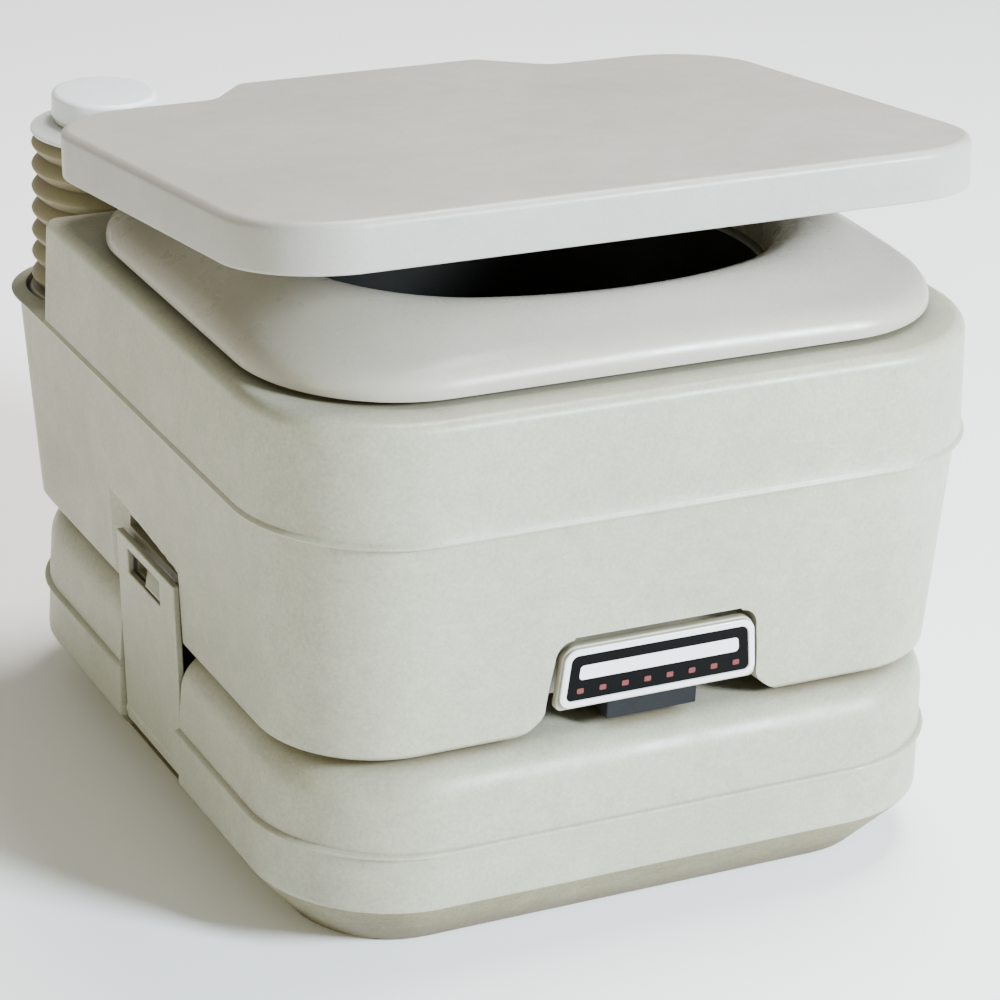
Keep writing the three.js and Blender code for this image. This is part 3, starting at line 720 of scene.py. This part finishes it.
def lid():
    corner = 46.0
    right = [(176, -144.5, corner), (176, 120, corner), (88, 120, 14), (63, 151, 9)]
    outline = filleted(right + [(-u, v, r) for u, v, r in reversed(right)], steps=20)
    dense = []
    for (u0, v0), (u1, v1) in zip(outline, outline[1:] + outline[:1]):
        steps = max(1, round(math.hypot(u1 - u0, v1 - v0) / 2))
        dense += [(u0 + (u1 - u0) * s / steps, v0 + (v1 - v0) * s / steps) for s in range(steps)]
    count = len(dense)
    normals = []
    for i in range(count):
        (u0, v0), (u1, v1) = dense[i - 1], dense[(i + 1) % count]
        length = math.hypot(u1 - u0, v1 - v0)
        normals.append(((v1 - v0) / length, -(u1 - u0) / length))
    twice_area = sum(a[0] * b[1] - b[0] * a[1] for a, b in zip(dense, dense[1:] + dense[:1]))
    outward = 1 if twice_area > 0 else -1

    def offset(inset, height):
        ring = []
        for (u, v), (nu, nv) in zip(dense, normals):
            low = LID_LOW + 16 * smooth((v - 118.5) / 4)
            z = height if height > LID_LOW + 12 else low + (height - LID_LOW)
            ring.append(raised_lid((u - nu * inset * outward, v - nv * inset * outward, min(z, LID_HIGH))))
        return ring

    edge = 3.7
    rings = [offset(2.6, 286.8), offset(2.6, LID_LOW + 0.8), offset(2.2, LID_LOW + 0.2), offset(1.4, LID_LOW),
             offset(0.7, LID_LOW + 0.1), offset(0.15, LID_LOW + 0.7), offset(0, LID_LOW + 1.6),
             offset(0, 283.5), offset(0, 285)]
    for step in range(9):
        angle = step / 8 * math.pi / 2
        rings.append(offset(edge * (1 - math.cos(angle)), LID_HIGH - edge + edge * math.sin(angle)))
    verts, faces = skin(rings)
    finish_piece("lid_panel", verts, faces, "lid", "lid_plastic", ("lid",), sharp=50)
    foot = [(150, 285.5), (131, 285.5)]
    parts = [box_part(-88, 88, 117.4, 119.8, LID_LOW + 0.2, 287.5),
             eye_plate(foot, 190, 380, 34, 43), eye_plate(foot, 190, 380, -43, -34)]
    for x in (-88, 0, 88):
        parts.append(box_part(x - 1.2, x + 1.2, -141, 117, 281, 287.5))
    for y in (-80, 30):
        parts.append(box_part(-172.5, 172.5, y - 1.2, y + 1.2, 281, 287.5))
    verts, faces = merged(*parts)
    finish_piece("lid_ears_and_ribs", [raised_lid(v) for v in verts], faces, "lid", "lid_plastic", bevel=0.5)


# ---------------------------------------------------------------- latches
def latch(side, name):
    low, high = 27, 124
    front, back = -27, 41
    window = (-10, 29, 107, 119)

    def place(u, v, depth):
        t = (v - low) / (high - low)
        return (side * (160.5 + 6.0 * t - depth), u, v)

    us = [front, window[0], window[1], back]
    vs = [low, window[2], window[3], high]
    verts, faces = [], []
    for depth in (0.0, 3.5):
        for v in vs:
            for u in us:
                verts.append(place(u, v, depth))

    def quad(layer, i, j):
        return layer * 16 + j * 4 + i

    for j in range(3):
        for i in range(3):
            if (i, j) == (1, 1):
                continue
            for layer in (0, 1):
                faces.append((quad(layer, i, j), quad(layer, i + 1, j),
                              quad(layer, i + 1, j + 1), quad(layer, i, j + 1)))
    rims = [((0, 0), (3, 0)), ((3, 0), (3, 3)), ((3, 3), (0, 3)), ((0, 3), (0, 0))]
    for (i0, j0), (i1, j1) in rims:
        for step in range(3):
            a = (i0 + (i1 - i0) * step // 3, j0 + (j1 - j0) * step // 3)
            b = (i0 + (i1 - i0) * (step + 1) // 3, j0 + (j1 - j0) * (step + 1) // 3)
            faces.append((quad(0, *a), quad(0, *b), quad(1, *b), quad(1, *a)))
    for a, b in (((1, 1), (2, 1)), ((2, 1), (2, 2)), ((2, 2), (1, 2)), ((1, 2), (1, 1))):
        faces.append((quad(0, *a), quad(0, *b), quad(1, *b), quad(1, *a)))
    body = f"{name}_latch"
    finish_piece(f"{name}_latch_strap", verts, faces, body, "shell_plastic", (body,), bevel=0.7)
    profile = rounded_profile([(0.5, front), (4.4, front), (4.4, back), (0.5, back)], 0.5)
    rings = [[(side * (157 + x), h, 32 + y) for x, y, h in ring] for ring in turned(profile, sides=32)]
    finish_piece(f"{name}_latch_knuckle", *skin(rings), body, "shell_plastic")


# ---------------------------------------------------------------- pump
def pump():
    low, high, pitches = 197.3, 272.7, 7
    pitch = (high - low) / pitches
    profile = [(23, high), (23, low)]
    steps = 14
    for i in range(pitches * steps + 1):
        turn = (i % steps) / steps
        bulge = 1 - abs(2 * turn - 1) ** 1.45
        profile.append((29.2 + 4.8 * bulge, low + pitch * i / steps))
    bellows = turned_piece("pump_bellows_folds", profile, PUMP, "tanks", "bellows_plastic",
                           ("pump_bellows",), joined=True)
    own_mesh(bellows)
    flange = [(0, 273), (34, 273), (34.5, 273.8), (34.2, 275), (29, 277.8), (0, 278)]
    turned_piece("pump_flange_disc", flange, PUMP, "pump_top", "white_plastic", ("pump_flange",))
    knob = [(0, 278.2), (23.4, 278.2), (23.4, 280.4), (24.5, 280.8), (24.5, 291), (22.8, 292.2), (0, 292.5)]
    turned_piece("pump_knob_cap", knob, PUMP, "pump_top", "white_plastic", ("pump_knob",), radius=1.6)
    base = [(6, 178), (14, 178), (14, 188), (19, 188), (19, 190.3), (36, 190.3), (36, 194), (34, 197), (6, 197)]
    turned_piece("pump_base_ring", base, PUMP, "tanks", "shell_plastic", ("pump_base",), joined=True)


def fill_cap():
    profile = rounded_profile([(0, 256), (20.3, 256), (20.3, 249.5), (24, 249.5),
                               (24, 262), (22, 264), (0, 264)], 0.8)
    rings = gripped(turned(profile, *FILL, sides=CAP_STEPS), FILL, 23.4, 261, 0.6)
    finish_piece("fill_cap_shell", *skin(rings), "fill_cap", "shell_plastic", ("fill_cap",))


# ---------------------------------------------------------------- valve handle and plate
def to_front(u, v, depth):
    return (u, depth, v)


def handle():
    outline = filleted([(-49, 107, 3), (49, 107, 3), (46, 136.5, 7), (-46, 136.5, 7)])
    plate = slab(outline, -167, -163, to_front)
    web = slab([(-22, 97.3), (22, 97.3), (22, 130), (-22, 130)], -164, -158, to_front)
    finish_piece("valve_handle_shell", *plate, "valve_slide", "shell_plastic", ("valve_handle",), bevel=0.8)
    # The web takes the near-black valve plastic, which paints the shadow under the label onto it
    finish_piece("valve_handle_web", *web, "valve_slide", "valve_plastic", bevel=0.6)


def label():
    outer = filleted([(-48, 108.5, 5), (48, 108.5, 5), (45.5, 135.5, 6), (-45.5, 135.5, 6)])
    inner = filleted([(-44.8, 111.5, 2.5), (44.8, 111.5, 2.5), (42.6, 132.5, 3.5), (-42.6, 132.5, 3.5)])
    steps = ((0, -167.4), (0, -168.5), (0.15, -168.8), (0.9, -168.8), (1, -168.4), (1, -167.4))
    rings = [[(u, depth, v) for u, v in between(outer, inner, t)] for t, depth in steps]
    finish_piece("label_border", *skin(rings, joined=True), "valve_slide", "label_plastic", look="border")
    face = slab(inner, -168.3, -167.5, to_front)
    finish_piece("label_face", *face, "valve_slide", "label_plastic", ("label_plate",))
    bar = filleted([(-39, 121, 1.8), (39, 121, 1.8), (38.3, 127.6, 1.8), (-38.3, 127.6, 1.8)])
    stripe = slab(bar, -168.55, -168.2, to_front)
    finish_piece("label_bar", *stripe, "valve_slide", "label_plastic", look="border")
    dots = []
    for i in range(8):
        centre = -38 + i * 76 / 7
        left, right = centre - 1.6, centre + 1.6
        ring = filleted([(left, 114.6, 0.5), (right, 114.6, 0.5), (right, 117, 0.5), (left, 117, 0.5)])
        dots.append(slab(ring, -168.5, -168.2, to_front))
    finish_piece("label_dashes", *merged(*dots), "valve_slide", "label_plastic", look="accent")


holding_tank()
discharge_cap()
flush_tank()
tank_trim()
seat()
lid()
latch(-1, "left")
latch(1, "right")
pump()
fill_cap()
handle()
label()

# The frame's own pieces that stay keep their shape and take the finish of their slot
SLOT_OF = {row["node"]: row["material_slot"] for row in frame["record"]["subparts"]}
for node, slot_name in SLOT_OF.items():
    shown = bpy.data.objects.get(node)
    if shown is not None and shown.type == "MESH":
        shown.data.materials.clear()
        shown.data.materials.append(LOOKS[slot_name])


# ---------------------------------------------------------------- floor, light and camera
def floor():
    mesh = bpy.data.meshes.new("studio_floor")
    reach = 30.0
    corners = [(-reach, -reach, 0), (reach, -reach, 0), (reach, reach, 0), (-reach, reach, 0)]
    mesh.from_pydata(corners, [], [(0, 1, 2, 3)])
    ground = bpy.data.objects.new("studio_floor", mesh)
    bpy.context.scene.collection.objects.link(ground)
    material, tree, shader = nodes_of("pale floor")
    here = tree.nodes.new("ShaderNodeTexCoord").outputs["Object"]
    tone = mix(tree, noise(tree, here, 3), (0.93, 0.93, 0.93), (0.95, 0.95, 0.95))
    tree.links.new(tone, shader.inputs["Base Color"])
    shader.inputs["Roughness"].default_value = 0.9
    shader.inputs["Specular IOR Level"].default_value = 0.1
    mesh.materials.append(material)


def area(name, place, target, size, energy, colour):
    light = bpy.data.lights.new(name, "AREA")
    light.shape = "DISK"
    light.size = size
    light.energy = energy
    light.color = colour
    lamp = bpy.data.objects.new(name, light)
    lamp.location = place
    lamp.rotation_euler = (Vector(target) - Vector(place)).to_track_quat("-Z", "Y").to_euler()
    bpy.context.scene.collection.objects.link(lamp)


def lights():
    world = bpy.data.worlds.new("studio")
    world.use_nodes = True
    background = world.node_tree.nodes["Background"]
    background.inputs["Color"].default_value = (1.0, 0.99, 0.93, 1)
    background.inputs["Strength"].default_value = 0.4
    bpy.context.scene.world = world
    area("key", (1.5, -2.1, 1.25), (0, 0, 0.15), 0.7, 300, (0.79, 0.91, 1.0))
    area("top", (0.6, 0.3, 2.2), (0, 0, 0.2), 1.0, 84, (1.0, 0.96, 0.92))
    area("left", (-2.2, -0.9, 0.9), (0, 0, 0.15), 1.0, 13, (1.0, 1.0, 0.5))


def camera():
    yaw, pitch, roll = (math.radians(angle) for angle in (-27.73, 23.72, 2.78))
    back = Vector((math.sin(yaw) * math.cos(pitch), -math.cos(yaw) * math.cos(pitch), math.sin(pitch)))
    right = Vector((math.cos(yaw), math.sin(yaw), 0))
    up = back.cross(right)
    place = Vector((-0.71134, -1.36801, 0.80641))
    turned_right = right * math.cos(roll) + up * math.sin(roll)
    turned_up = up * math.cos(roll) - right * math.sin(roll)
    data = bpy.data.cameras.new("camera")
    data.sensor_width = 36
    data.lens = 3.63328 * 36
    data.clip_end = 50
    eye = bpy.data.objects.new("camera", data)
    eye.matrix_world = Matrix((
        (turned_right.x, turned_up.x, back.x, place.x),
        (turned_right.y, turned_up.y, back.y, place.y),
        (turned_right.z, turned_up.z, back.z, place.z),
        (0, 0, 0, 1)))
    bpy.context.scene.collection.objects.link(eye)
    bpy.context.scene.camera = eye


floor()
lights()
camera()
